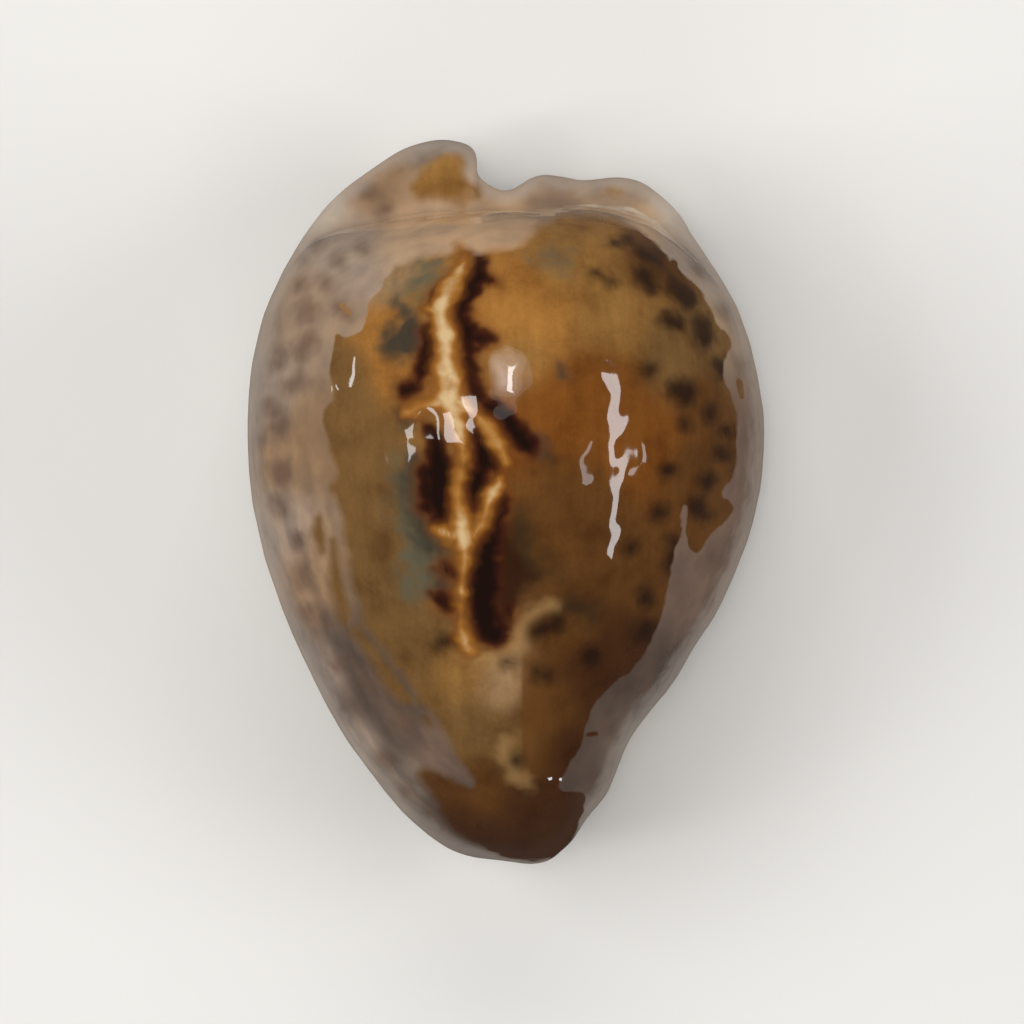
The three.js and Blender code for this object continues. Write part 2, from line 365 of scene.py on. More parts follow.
def footPlaces(u):
    left, fromNotch, _ = fromEnds(u)
    place = 0.5 + np.where(left, -0.5, 0.5) * np.minimum(1, fromNotch / shell["sideEnd"])
    hind = curveThrough(shell["hindFoot"], place * (len(shell["hindFoot"]) - 1))
    side = np.stack(outline.ring(shell["sideShare"], u), axis=1)
    return blend(hind, side, ease(shell["sideStart"], shell["sideEnd"], fromNotch)[:, None])


foot = Outline(footPlaces(samples))


class Columns:  # what the rings need to know about every column round the shell
    def __init__(self, count):
        fine = np.linspace(0, 1, shell["spacingSteps"])
        _, fromNotch, fromTip = fromEnds(fine)
        crowding = 1
        for away, (extra, reach) in ((fromNotch, shell["notchCrowding"]), (fromTip, shell["tipCrowding"])):
            crowding = crowding + extra * np.exp(-((away / reach) ** 2))
        weight = np.cumsum(np.gradient(lengthAt(fine)) * crowding)
        weight = (weight - weight[0]) / (weight[-1] - weight[0])
        self.u = np.interp(np.arange(count) / count, weight, fine)
        self.left, self.fromNotch, self.fromTip = fromEnds(self.u)
        self.outline = np.stack(outline.ring(1, self.u))
        self.foot = np.stack(foot.ring(1, self.u))
        self.widest = np.stack(foot.ring(shell["widestShare"], self.u))
        self.slit = self.slitPlaces()
        self.baseWidth = np.hypot(*(self.slit - self.outline))
        self.rollEnd = np.minimum(shell["rollShare"], shell["longestRoll"] / self.baseWidth)
        self.lipStart = 1 - np.minimum(shell["lipShare"], shell["lipRadius"] / self.baseWidth)
        sides = ease(shell["sideStart"], shell["sideEnd"], self.fromNotch)
        self.footShare = blend(1, shell["sideShare"], sides)
        nearNotch = self.fromNotch < self.fromTip
        hindWidth, frontWidth = shell["canalHalfWidth"]
        canalWidth = np.where(nearNotch, hindWidth, frontWidth)
        self.canalRoof = np.where(nearNotch, *shell["canalRoof"])
        fromEnd = np.minimum(self.fromNotch, self.fromTip)
        self.canalShare = 1 - ease(*shell["canalFade"], fromEnd / canalWidth)
        self.equator = self.byPlace(shell["equatorHeight"])
        self.rollHeight = self.byPlace(shell["rollHeight"])
        self.creaseBlend = self.byPlace(shell["creaseBlend"])

    def byPlace(self, values):
        notch, left, right, side, tip = values
        lobes = 1 - ease(0, shell["lobeReach"], self.fromNotch)
        nearNotch = np.exp(-((self.fromNotch / shell["notchReach"]) ** 2))
        nearTip = np.exp(-((self.fromTip / shell["tipReach"]) ** 2))
        value = blend(side, np.where(self.left, left, right), lobes)
        return blend(blend(value, notch, nearNotch), tip, nearTip)

    def slitPlaces(self):
        hind, front = shell["canalHalfWidth"]
        straight = self.fromNotch + self.fromTip - hind - front
        along = np.clip((self.fromNotch - hind) / straight, 0, 1)
        halfWidth = curveThrough(shell["slitHalfWidths"], along * (len(shell["slitHalfWidths"]) - 1))
        centre = curveThrough(shell["slitCentre"], along * (len(shell["slitCentre"]) - 1))
        nearest = np.minimum(self.fromNotch / hind, self.fromTip / front)
        turn = quarterTurn * np.minimum(1, nearest)
        towards = np.where(self.fromNotch < self.fromTip, 1, -1)
        across = np.where(self.left, -1, 1) * halfWidth * np.sin(turn)
        inward = towards * shell["slitRounding"] * np.cos(turn)
        return np.stack([centre[:, 0] + across, centre[:, 1] + inward])


columns = Columns(shell["columns"])


def backHeight(y, share, turn):
    arch = np.maximum(0, 1 - share ** shell["fullness"]) ** (1 / shell["fullness"])
    top = shell["height"] + shell["backLean"] * y
    footHeight = blend(shell["meanFootHeight"], columns.equator, share ** 4)
    roll = columns.equator + columns.rollHeight * math.cos(turn)
    return smoothMax(blend(footHeight, top, arch), roll, columns.creaseBlend * max(0.001, math.cos(turn)))


def domeRing(share):
    x, y = foot.ring(share, columns.u)
    return x, y, backHeight(y, share * columns.footShare, 0)


def rollRing(turn):
    x, y = blend(columns.foot, columns.outline, math.sin(turn))
    return x, y, backHeight(y, blend(columns.footShare, 1, math.sin(turn)), turn)


def baseRing(share, rise):  # on a canal's roof where the column is at a canal
    x, y = blend(columns.outline, columns.slit, share)
    narrow = 1 - ease(0, shell["narrowWidth"], columns.baseWidth)
    lift = shell["endLift"] * np.maximum(0, np.abs(y) - shell["flatHalfLength"]) ** 2
    bottom = lift + shell["narrowLift"] * narrow
    roof = blend(columns.equator, columns.canalRoof, np.minimum(1, 2 * share))
    return x, y, blend(bottom + rise * (1 - bottom / columns.equator), roof, columns.canalShare)


def lowerRollRing(turn):
    return baseRing(columns.rollEnd * (1 - math.cos(turn)), columns.equator * (1 - math.sin(turn)))


def flatRing(along):
    return baseRing(blend(columns.rollEnd, columns.lipStart, along), 0)


def lipRing(turn):
    rise = shell["lipRadius"] * (1 - math.cos(turn))
    return baseRing(blend(columns.lipStart, 1, math.sin(turn)), rise)


def floorRing(along):
    inward = min(1, 2 * along) * quarterTurn
    outward = max(0, 2 * along - 1) * quarterTurn
    reach = shell["innerLipShare"]
    share = reach * (1 - math.cos(inward)) + (1 - reach) * math.sin(outward)
    x, y = blend(columns.slit, columns.widest, share)
    height = shell["lipThickness"] + (shell["floorHeight"] - shell["lipThickness"]) * math.sin(inward)
    height += (shell["widestHeight"] - shell["floorHeight"]) * (1 - math.cos(outward))
    roof = blend(columns.canalRoof, shell["widestHeight"], along)
    return x, y, blend(height, roof, columns.canalShare)


def ceilingRing(turn):
    x, y, back = domeRing(shell["widestShare"] * math.cos(turn))
    return x, y, blend(shell["widestHeight"], back - shell["wall"], math.sin(turn) ** shell["hollowFullness"])


def allRings():  # each ring with its part of the shell, and how far it is through that part
    makers = {
        "dome": lambda t: domeRing(math.sin(quarterTurn * t)),
        "roll": lambda t: rollRing(quarterTurn * t),
        "lowerRoll": lambda t: lowerRollRing(quarterTurn * t),
        "flat": flatRing,
        "lip": lambda t: lipRing(quarterTurn * t),
        "floor": floorRing,
        "ceiling": lambda t: ceilingRing(quarterTurn * t),
    }
    rings = []
    for part, count in shell["rings"].items():
        for i in range(count):
            t = (i + 1) / count
            if part != "ceiling" or t < 1:
                rings.append((part, t, np.stack(makers[part](t), axis=1)))
    return rings


def thinning(part, t):  # every how many columns a ring keeps, so that the middle isn't overcrowded
    if part == "dome":
        share = math.sin(quarterTurn * t)
        limits = [(0.03, 32), (0.07, 16), (0.16, 8), (0.33, 4), (0.6, 2)]
    elif part == "ceiling":
        share = math.cos(quarterTurn * t)
        limits = [(0.06, 32), (0.15, 16), (0.3, 8), (0.7, 4), (1.1, 2)]
    elif part == "floor" and t > 0.5:
        return 2
    else:
        return 1
    return next((step for limit, step in limits if share < limit), 1)


def bandFaces(inner, outer):  # faces between two rings, the second with as many columns or a multiple
    faces = []
    ratio = len(outer) // len(inner)
    for i in range(len(inner)):
        a, b = inner[i], inner[(i + 1) % len(inner)]
        if ratio == 1:
            faces.append((a, outer[i], outer[(i + 1) % len(outer)], b))
            continue
        fan = [outer[(i * ratio + k) % len(outer)] for k in range(ratio + 1)]
        half = ratio // 2
        faces += [(a, fan[k], fan[k + 1]) for k in range(half)]
        faces.append((a, fan[half], b))
        faces += [(b, fan[k], fan[k + 1]) for k in range(half, ratio)]
    return faces


def pole(ring):  # the one point where all columns of a ring meet
    return np.array([[float(v[0]) for v in ring]])


class Form:  # the points, faces and parts of the whole surface
    def __init__(self):
        rings = allRings()
        points = [pole(domeRing(0.0))]
        parts = [("dome", 0.0)]
        indices = []
        for part, t, places in rings:
            kept = np.arange(0, shell["columns"], thinning(part, t))
            indices.append(list(range(len(parts), len(parts) + len(kept))))
            points.append(places[kept])
            parts += [(part, t)] * len(kept)
        points.append(pole(ceilingRing(quarterTurn)))
        innerPole = len(parts)
        parts.append(("ceiling", 1.0))
        self.points = np.vstack(points)
        self.parts = parts
        self.faces = []
        first, last = indices[0], indices[-1]
        self.faces += [(0, first[i], first[(i + 1) % len(first)]) for i in range(len(first))]
        for ring, following in zip(indices, indices[1:]):
            if len(following) >= len(ring):
                self.faces += bandFaces(ring, following)
            else:
                self.faces += [tuple(reversed(face)) for face in bandFaces(following, ring)]
        self.faces += [(innerPole, last[(i + 1) % len(last)], last[i]) for i in range(len(last))]

    def share(self, values):  # a value for each point, from a table of parts and how far through each it is
        return np.array([np.interp(t, *values[part]) for part, t in self.parts])


form = Form()
print("form ready,", len(form.points), "points")


# The markings: strokes of (x, y, radius) on the back as it is seen from above

markings = {
    "mantleGap": [
        [(-2.9, 16.7, 0.2), (-3.2, 16.1, 0.35), (-3.75, 15.1, 0.45), (-4.2, 14.1, 0.5), (-4.5, 13.3, 0.65),
         (-4.5, 12.8, 0.7), (-4.3, 12.0, 0.55), (-4.15, 11.2, 0.5), (-4.1, 10.4, 0.65), (-4.15, 9.4, 0.85),
         (-4.05, 8.6, 0.9), (-4.0, 7.7, 0.9), (-4.0, 7.0, 0.85)],
        [(-4.0, 7.0, 0.85), (-3.7, 6.2, 0.6), (-3.4, 5.2, 0.45), (-3.1, 4.1, 0.3), (-2.95, 3.1, 0.2),
         (-3.05, 2.2, 0.18), (-3.25, 1.3, 0.15), (-3.35, 0.5, 0.22), (-3.3, -0.4, 0.35), (-3.15, -1.3, 0.6),
         (-3.1, -2.1, 0.85), (-2.95, -3.0, 0.6), (-2.9, -4.0, 0.3), (-3.0, -5.0, 0.1), (-3.1, -6.0, 0.12),
         (-3.15, -7.0, 0.15), (-3.2, -8.0, 0.25), (-3.1, -9.2, 0.4), (-2.6, -10.2, 0.3)],
        [(-3.2, 6.9, 0.4), (-2.4, 6.3, 0.2), (-1.6, 5.6, 0.28), (-1.05, 4.9, 0.33), (-0.6, 4.2, 0.33),
         (-0.25, 3.5, 0.25), (-0.05, 2.7, 0.08)],
        [(-0.45, 1.5, 0.25), (-0.9, 0.8, 0.25), (-1.25, 0.0, 0.3), (-1.5, -0.8, 0.35), (-1.7, -1.6, 0.4),
         (-2.2, -2.2, 0.4)],
        [(-5.5, 13.35, 0.15), (-4.9, 13.2, 0.3)],
        [(-5.0, -1.75, 0.05), (-4.4, -2.0, 0.3), (-3.7, -2.4, 0.55)],
        [(-6.9, 6.3, 0.25), (-6.2, 6.5, 0.35), (-5.2, 6.7, 0.3), (-4.2, 7.0, 0.5)],
    ],
    "darkMark": [
        [(-1.9, 16.9, 0.3), (-1.9, 16.2, 0.45), (-2.0, 15.6, 0.55), (-2.5, 15.0, 0.65), (-2.9, 14.2, 0.65),
         (-3.1, 13.5, 0.6), (-3.15, 12.9, 0.65), (-2.8, 12.3, 0.5), (-2.6, 11.6, 0.6), (-2.55, 11.0, 0.65),
         (-2.6, 10.4, 0.6), (-2.65, 9.6, 0.5), (-2.6, 8.9, 0.4), (-2.4, 8.2, 0.45), (-2.2, 7.6, 0.4),
         (-1.6, 6.9, 0.4), (-1.1, 6.5, 0.6), (-0.5, 6.2, 0.5), (0.1, 5.7, 0.7), (0.5, 5.1, 0.8),
         (0.9, 4.5, 0.7), (1.3, 4.0, 0.6), (1.6, 3.6, 0.4)],
        [(-2.4, 11.3, 0.6), (-1.6, 11.35, 0.45), (-1.0, 11.3, 0.2)],
        [(-2.0, 15.8, 0.5), (-1.3, 15.4, 0.25), (-0.8, 15.25, 0.1)],
        [(-2.0, 5.3, 0.35), (-1.9, 4.6, 0.6), (-1.6, 4.0, 0.7), (-1.6, 3.2, 0.75), (-1.5, 2.4, 0.7),
         (-2.0, 1.6, 0.85), (-2.1, 0.8, 0.75), (-2.15, 0.1, 0.45), (-2.1, -0.6, 0.2)],
        [(-1.3, 3.5, 0.4), (-0.9, 2.8, 0.45), (-0.8, 2.2, 0.3)],
        [(-0.2, 0.2, 0.3), (-0.5, -0.8, 0.45), (-0.8, -1.8, 0.6), (-1.2, -2.8, 0.85), (-1.4, -3.8, 1.0),
         (-1.5, -4.8, 1.1), (-1.6, -5.8, 1.15), (-1.6, -6.8, 1.1), (-1.5, -7.8, 1.05), (-1.25, -8.7, 0.95),
         (-0.9, -9.1, 0.85)],
        [(-5.6, 2.6, 0.3), (-5.6, 1.2, 0.5), (-5.4, -0.2, 0.5), (-5.0, -1.1, 0.4)],
        [(0.1, -7.3, 0.25), (0.3, -7.8, 0.2)],
        [(-5.3, 5.2, 0.25), (-4.9, 4.4, 0.4), (-4.8, 3.4, 0.7), (-4.75, 2.4, 0.9), (-4.75, 1.4, 0.95),
         (-4.75, 0.4, 0.9), (-4.6, -0.6, 0.75), (-4.4, -1.2, 0.45)],
        [(-5.3, 12.1, 0.35), (-5.1, 11.4, 0.5), (-5.3, 10.6, 0.5), (-5.7, 9.8, 0.45), (-5.8, 9.0, 0.45),
         (-6.2, 8.3, 0.4), (-6.9, 7.6, 0.35)],
        [(-4.9, 11.2, 0.3), (-4.6, 11.0, 0.2)],
        [(-4.9, 14.3, 0.15), (-5.1, 13.0, 0.12)],
        [(-4.4, -4.4, 0.15), (-4.1, -4.7, 0.3), (-3.6, -5.0, 0.25)],
        [(-4.6, -6.8, 0.35), (-4.0, -7.1, 0.4), (-3.7, -7.4, 0.2)],
    ],
    # slate green blotches and paler mossy halos beside the dark mark
    "slate": [
        [(-7.4, 11.0, 1.2), (-6.7, 11.3, 1.5), (-6.1, 11.2, 1.2)],
        [(-7.2, 12.6, 0.4), (-7.3, 13.6, 0.25)],
        [(-7.2, 7.6, 0.3), (-6.6, 7.9, 0.3)],
        [(-7.2, 6.2, 0.25), (-6.8, 5.5, 0.3)],
        [(-6.3, 3.3, 0.35), (-6.5, 2.0, 0.5), (-6.4, 0.7, 0.6), (-6.1, -0.7, 0.6), (-5.7, -2.2, 0.6),
         (-5.2, -3.2, 0.4)],
        [(-4.7, -3.0, 0.25), (-4.5, -4.0, 0.3), (-4.4, -5.0, 0.4), (-4.6, -6.0, 0.4)],
        [(3.9, 9.0, 0.25), (3.7, 9.4, 0.1)],
        [(1.2, 4.4, 0.5), (2.0, 3.9, 0.5)],
    ],
    "moss": [
        [(-7.2, 14.2, 0.5), (-6.5, 14.9, 0.8), (-5.8, 15.5, 0.9), (-5.0, 15.7, 0.7), (-4.6, 15.7, 0.4)],
        [(-7.0, 2.6, 0.2), (-7.1, 1.5, 0.4), (-6.9, 0.0, 0.5), (-6.5, -1.5, 0.6), (-6.1, -3.0, 0.7),
         (-5.9, -4.2, 0.9), (-6.1, -5.2, 1.0), (-6.7, -5.5, 0.5)],
        [(2.6, 17.0, 0.1), (4.0, 16.8, 0.1)],
    ],
    "dusk": [
        [(0.2, 0.0, 0.4), (0.7, -1.4, 0.8), (0.8, -2.7, 1.0), (1.2, -4.0, 1.0), (1.9, -4.8, 0.7),
         (3.0, -4.8, 0.3)],
        [(4.4, -7.2, 0.4), (5.6, -7.5, 0.5)],
        [(1.8, 3.4, 0.4), (2.8, 3.2, 0.3)],
    ],
    # the redder right side of the long dark streak
    "rust": [
        [(-0.3, -1.6, 0.3), (0.0, -3.0, 0.55), (0.2, -4.4, 0.8), (0.2, -5.6, 0.85), (-0.1, -6.8, 0.7),
         (-0.3, -7.9, 0.5)],
        [(0.6, -5.0, 0.7), (1.7, -5.0, 0.35)],
    ],
    "creamFringe": [
        [(-1.9, -10.4, 0.1), (-0.8, -10.7, 0.25), (0.3, -10.4, 0.25), (0.8, -9.3, 0.2), (1.1, -8.3, 0.2),
         (1.7, -7.6, 0.15), (2.4, -7.2, 0.05), (3.2, -7.0, 0.0)],
        [(-0.3, -16.6, 0.0), (-0.1, -17.5, 0.1), (0.6, -18.7, 0.15), (1.6, -19.4, 0.0)],
    ],
    # the thin painted highlight along the fold at the foot of the back
    "creaseLine": [
        [(-5.2, 19.2, 0.02), (-3.0, 19.6, 0.07), (-0.5, 19.75, 0.04), (1.8, 19.75, 0.1), (4.0, 20.3, 0.07),
         (6.5, 20.5, 0.05), (8.6, 20.2, 0.1), (10.4, 19.2, 0.06), (12.0, 17.5, 0.02)],
    ],
    # soft brown spots on the uncovered back
    "spots": [
        [(11.6, 14.9, 0.45), (12.5, 14.0, 0.6)], [(13.3, 12.4, 0.55), (13.8, 11.4, 0.6)],
        [(11.2, 12.7, 0.45), (11.8, 12.3, 0.4)], [(9.2, 17.3, 0.3), (10.3, 16.7, 0.5)],
        [(9.4, 15.8, 0.45), (10.1, 14.9, 0.45)], [(7.4, 18.0, 0.1), (8.4, 18.2, 0.25)],
        [(6.3, 15.8, 0.25), (7.2, 15.2, 0.2)], [(14.8, 9.5, 0.35), (15.0, 8.9, 0.3)],
        [(11.7, 7.9, 0.6), (12.4, 7.5, 0.6)], [(14.1, 6.0, 0.45)], [(12.4, 5.3, 0.35)],
        [(15.2, 5.0, 0.3)], [(14.9, 3.4, 0.4)], [(13.9, 1.5, 0.45)], [(13.1, -0.3, 0.6), (13.6, -0.8, 0.4)],
        [(11.2, 2.2, 0.5)], [(10.6, -0.7, 0.5)], [(11.6, -2.8, 0.45), (11.3, -4.4, 0.4)], [(8.6, -3.2, 0.4)],
        [(9.6, -6.6, 0.5)], [(9.9, 9.2, 0.4)], [(-4.5, -9.6, 0.4), (-3.8, -9.6, 0.35)],
        [(2.0, -8.9, 0.3), (3.3, -8.5, 0.5)], [(-0.2, -11.1, 0.15), (0.4, -11.0, 0.15)],
        [(2.2, -11.8, 0.4), (2.9, -12.0, 0.4)], [(0.7, -17.8, 0.3)], [(5.9, -10.5, 0.5)], [(9.6, -8.9, 0.5)],
    ],
    # the same spots where the callus covers them
    "coveredSpots": [
        [(-13.5, 13.5, 0.4), (-13.8, 12.9, 0.4)], [(-13.6, 11.2, 0.5), (-14.2, 10.5, 0.55)],
        [(-15.5, 10.2, 0.35), (-15.7, 9.5, 0.35)], [(-14.2, 8.3, 0.6), (-14.8, 8.0, 0.6)],
        [(-16.3, 6.7, 0.35), (-16.0, 6.2, 0.35)], [(-15.6, 5.1, 0.6)], [(-17.0, 4.4, 0.3)],
        [(-15.5, 2.3, 0.5), (-15.4, 1.8, 0.5)], [(-15.7, 0.1, 0.4), (-15.5, -0.5, 0.45)],
        [(-11.4, 13.4, 0.3), (-11.0, 13.0, 0.35)], [(-13.2, 17.8, 0.4)], [(-14.2, 16.8, 0.35)],
        [(-9.8, 17.3, 0.4)], [(-11.5, 16.6, 0.45)], [(-12.5, 15.2, 0.45)], [(-14.3, 15.0, 0.35)],
        [(-14.4, -2.6, 0.45)], [(-14.1, -4.8, 0.5), (-14.0, -5.5, 0.4)], [(-12.3, -8.2, 0.5)],
        [(-13.6, -7.6, 0.4)], [(-11.5, -11.0, 0.5)], [(-9.4, -12.2, 0.5)],
        [(-8.6, -17.6, 0.6), (-8.2, -17.8, 0.5)],
        [(-7.0, -20.0, 0.55)], [(-5.4, -18.8, 0.5)], [(-7.0, -15.0, 0.5)], [(16.4, 9.6, 0.35)],
        [(15.1, 13.2, 0.4)], [(13.2, 16.0, 0.4)], [(14.6, -4.2, 0.5)], [(12.6, -9.0, 0.5)],
        [(9.6, -12.4, 0.5)], [(6.2, -19.2, 0.5)], [(7.0, -15.6, 0.5)], [(-9.6, 21.6, 0.45)],
        [(-8.4, 20.2, 0.4)], [(6.2, 21.6, 0.3)],
    ],
    # places where the callus leaves the brown back bare
    "windows": [
        [(-5.9, 21.6, 0.65), (-5.2, 22.4, 0.85), (-4.2, 23.0, 0.95), (-3.6, 23.2, 0.75)],
        [(-5.0, 21.7, 0.75), (-3.6, 21.8, 0.85), (-2.3, 21.4, 0.5)],
        [(-3.8, 20.6, 0.12), (-3.0, 20.35, 0.12)], [(7.0, 21.5, 0.2), (7.7, 21.3, 0.25)],
        [(16.0, 8.3, 0.2), (16.2, 7.3, 0.15)], [(11.5, 16.4, 0.22)],
        [(-11.3, 13.6, 0.15), (-10.9, 13.1, 0.2)], [(-8.0, 15.3, 0.4), (-7.5, 16.0, 0.25)],
        [(-12.0, -2.7, 0.15), (-11.85, -4.2, 0.3), (-11.75, -5.5, 0.42), (-11.4, -6.8, 0.45),
         (-11.1, -8.0, 0.35)],
        [(-13.0, -1.1, 0.25), (-12.95, -2.2, 0.4), (-12.7, -3.3, 0.3)],
        [(-5.6, -14.9, 0.12), (-5.2, -15.3, 0.12)], [(5.6, -16.0, 0.1), (6.2, -15.9, 0.1)],
    ],
    # thin tongues of callus that lie on the bare back
    "tongues": [
        [(-9.9, -8.6, 0.16), (-8.3, -10.7, 0.2), (-7.3, -12.0, 0.25), (-6.3, -13.4, 0.2)],
        [(12.3, -0.3, 0.12), (12.15, -1.6, 0.2)],
    ],
    # the edge of the callus round the bare back, clockwise from the middle of the hind end
    "callusEdge": [
        (-1.3, 17.3), (0.0, 17.5), (1.2, 17.9), (2.0, 18.8), (3.2, 19.3), (3.8, 19.8), (6.0, 19.8),
        (8.0, 19.3), (9.6, 18.5), (10.6, 17.6), (11.3, 16.6), (12.2, 15.7), (13.2, 14.8), (14.0, 13.4),
        (14.6, 12.2), (15.2, 11.8), (15.5, 11.0), (15.2, 10.3), (15.0, 9.4), (15.1, 8.2), (15.6, 7.2),
        (15.95, 6.2), (15.75, 4.8), (15.9, 3.4), (15.8, 2.2), (15.2, 1.2), (14.9, 0.5), (15.3, 0.1),
        (15.6, -0.5), (15.2, -1.2), (14.1, -2.2), (13.5, -3.3), (12.8, -3.4), (12.4, -2.2), (12.25, -0.6),
        (12.1, -0.9), (12.0, -2.2), (11.6, -3.6), (11.2, -5.2), (11.0, -6.6), (10.5, -8.1), (10.0, -9.3),
        (9.3, -10.7), (8.3, -11.8), (6.9, -12.9), (5.9, -14.1), (5.5, -15.4), (4.9, -17.0), (4.1, -18.4),
        (3.6, -19.5), (4.0, -20.0), (5.2, -20.0), (5.35, -21.0), (4.9, -22.4), (4.2, -23.7), (3.0, -24.5),
        (1.2, -24.7), (-1.0, -24.1), (-2.8, -23.2), (-4.0, -22.2), (-4.6, -21.2), (-5.2, -20.0),
        (-6.1, -18.8), (-5.5, -18.4), (-4.2, -18.9), (-3.2, -19.4), (-2.4, -19.7), (-2.2, -19.2),
        (-3.2, -17.8), (-4.0, -16.4), (-4.6, -15.3), (-5.3, -14.3), (-6.0, -13.9), (-7.3, -13.7),
        (-8.0, -13.2), (-8.6, -12.2), (-9.2, -11.2), (-10.0, -10.0), (-10.8, -8.8), (-10.3, -8.5),
        (-9.9, -8.2), (-10.0, -7.2), (-10.6, -5.5), (-10.9, -3.5), (-11.3, -1.0), (-11.7, 0.3),
        (-12.1, 1.0), (-11.7, 2.0), (-11.9, 3.0), (-12.2, 4.0), (-12.5, 5.0), (-12.5, 6.4), (-11.9, 7.0),
        (-11.9, 8.0), (-12.2, 9.0), (-12.0, 10.5), (-11.8, 11.6), (-11.0, 11.5), (-10.0, 12.0),
        (-9.6, 13.0), (-9.3, 14.0), (-8.6, 14.8), (-8.3, 15.4), (-7.6, 16.2), (-6.5, 16.7), (-5.2, 17.0),
        (-4.0, 17.1), (-3.4, 17.9), (-2.7, 17.6), (-2.2, 17.2),
    ],
    # the shell's few tones, and where each one lies: place and reach
    "palette": {
        "amber": (151, 103, 47), "honey": (136, 98, 50), "chestnut": (114, 67, 22), "ochre": (110, 81, 45),
        "umber": (90, 57, 24), "bark": (64, 36, 15), "buff": (152, 121, 86), "ivory": (174, 161, 144),
        "cream": (169, 141, 112), "pearl": (141, 126, 113), "putty": (137, 117, 98), "fawn": (128, 103, 79),
        "dove": (113, 101, 90), "mauve": (104, 86, 75), "smoke": (78, 66, 58),
    },
    "backTones": {
        "amber": [(1.5, 13.5, 4), (-8, 9, 2), (-8.5, 12.5, 2)],
        "honey": [(4.5, 16.5, 3), (7, 12.6, 3), (1, 10, 2.5), (-3, -11.8, 2.5), (-6, 13.8, 1.2),
                  (-5.5, 4.5, 1.2), (-4.2, 22.5, 2)],
        "chestnut": [(3.5, 6.5, 3.5), (6.5, 8, 3), (9, 4, 3)],
        "ochre": [(11.5, 10.2, 2.5), (16, 8, 1), (-11, 8, 2.5), (-9, 2, 3), (-9, -2, 3), (-7, -9, 3.5),
                  (-6.5, -13, 2), (-2.5, -15, 2.5), (0, -16, 1.8)],
        "umber": [(10, 16.5, 2), (13.5, 7, 2), (13.5, 2, 2.5), (9, -4, 3), (5, 0, 3), (4.5, -9, 2),
                  (2.6, -14, 2.4), (-1.8, -20.2, 2.2)],
        "bark": [(7, -11.5, 3.5), (4.5, -17, 2), (1, -22.5, 3), (3.8, -20.6, 2), (-2.5, -22, 2)],
        "buff": [(-0.6, -12.6, 2), (-9, 15, 2), (7.3, 21.4, 1)],
    },
    "callusTones": {
        "cream": [(-7, 18.5, 3), (-1, 18.7, 3.5), (9.5, 19.6, 1.5)],
        "ivory": [(11, 20.3, 1.6), (-12.3, 20, 1.6)],
        "pearl": [(-16.5, 8, 3), (-10.5, 17.8, 3), (13.5, 16.2, 2.5), (-15.5, -3, 3), (-12.5, -11.8, 2),
                  (-9.6, -17, 2)],
        "putty": [(3, 21.4, 2.5), (8, 21.3, 3), (15.8, 11.5, 2.5), (-13, 12, 3)],
        "fawn": [(-13, 5, 4), (-13.5, -4, 3), (-9, 21.5, 2.5)],
        "dove": [(7.8, -16.5, 2), (-7.5, -19, 2), (-4.5, 24.4, 2)],
        "mauve": [(16.3, 4.5, 4), (15.5, -2, 3), (12.5, -6, 3), (-5, -16.5, 2)],
        "smoke": [(9.5, -11.5, 3), (6, -15.5, 3), (-10, -11, 3), (-7.5, -15.5, 2.5), (-4, -22.5, 2.5)],
    },
    # a straight edge of tone near the front, with where it starts and stops
    "seam": {"x": 1.05, "edge": (-0.1, 0.15), "top": (-10.9, -10.1), "bottom": (-19.6, -18.6), "fade": 3.5},
    # the two regions where the edge of the callus is soft: where they end in x, and end or start in y
    "lowLeft": ((-6, 2), (-6, 12)),
    "hind": ((7, 10), (15, 18)),
    "edgeBlur": (0.08, 0.4),  # mm, elsewhere and in those regions
    # the ridges at the lower left, raised by the bump and streaked with painted highlights and shade: where
    # they fade out, in mm in from the outline, the directions that their turn round the middle is measured
    # from, and the radius that makes mm of it
    "ridgeEnd": (3, 6),
    "ridgeAxes": ((-0.86, -0.5), (0.5, -0.86)),
    "ridgeRadius": 16,
    "farAway": 9.0,  # mm, the distance given where a marking isn't drawn
}


def seenFromAbove(points):  # where each point lies on the plane of the outline, as the camera sees it
    centre = np.array(studio["pictureCentre"])
    nearer = studio["cameraDistance"] - (points[:, 2] - studio["widestHeight"])
    return centre + (points[:, :2] - centre) * (studio["cameraDistance"] / nearer)[:, None]


def strokeDistance(places, strokes):  # mm outside the nearest stroke, negative inside
    nearest = np.full(len(places), markings["farAway"])
    for stroke in strokes:
        ends = stroke + stroke if len(stroke) == 1 else stroke
        for (ax, ay, ar), (bx, by, br) in zip(ends, ends[1:]):
            start, run = np.array([ax, ay]), np.array([bx - ax, by - ay])
            along = np.clip((places - start) @ run / max(run @ run, 1e-9), 0, 1)
            gap = np.linalg.norm(places - start - along[:, None] * run, axis=1)
            nearest = np.minimum(nearest, gap - blend(ar, br, along))
    return nearest


def edgeDistance(places, points, steps=700):  # mm outside a closed curve, negative inside
    curve = curveThrough(points, np.linspace(0, len(points), steps, endpoint=False), closed=True)
    following = np.roll(curve, -1, axis=0)
    distance = np.empty(len(places))
    for chunk in np.array_split(np.arange(len(places)), max(1, len(places) // 4000)):
        p = places[chunk][:, None, :]
        run = following - curve
        along = np.clip(((p - curve) * run).sum(2) / (run * run).sum(1), 0, 1)
        gap = np.linalg.norm(p - curve - along[..., None] * run, axis=2).min(1)
        py = p[..., 1]
        crosses = (curve[:, 1] > py) != (following[:, 1] > py)
        rise = np.where(np.abs(run[:, 1]) < 1e-12, 1e-12, run[:, 1])
        meets = p[..., 0] < curve[:, 0] + (py - curve[:, 1]) * run[:, 0] / rise
        inside = (crosses & meets).sum(1) % 2 == 1
        distance[chunk] = np.where(inside, -gap, gap)
    return distance


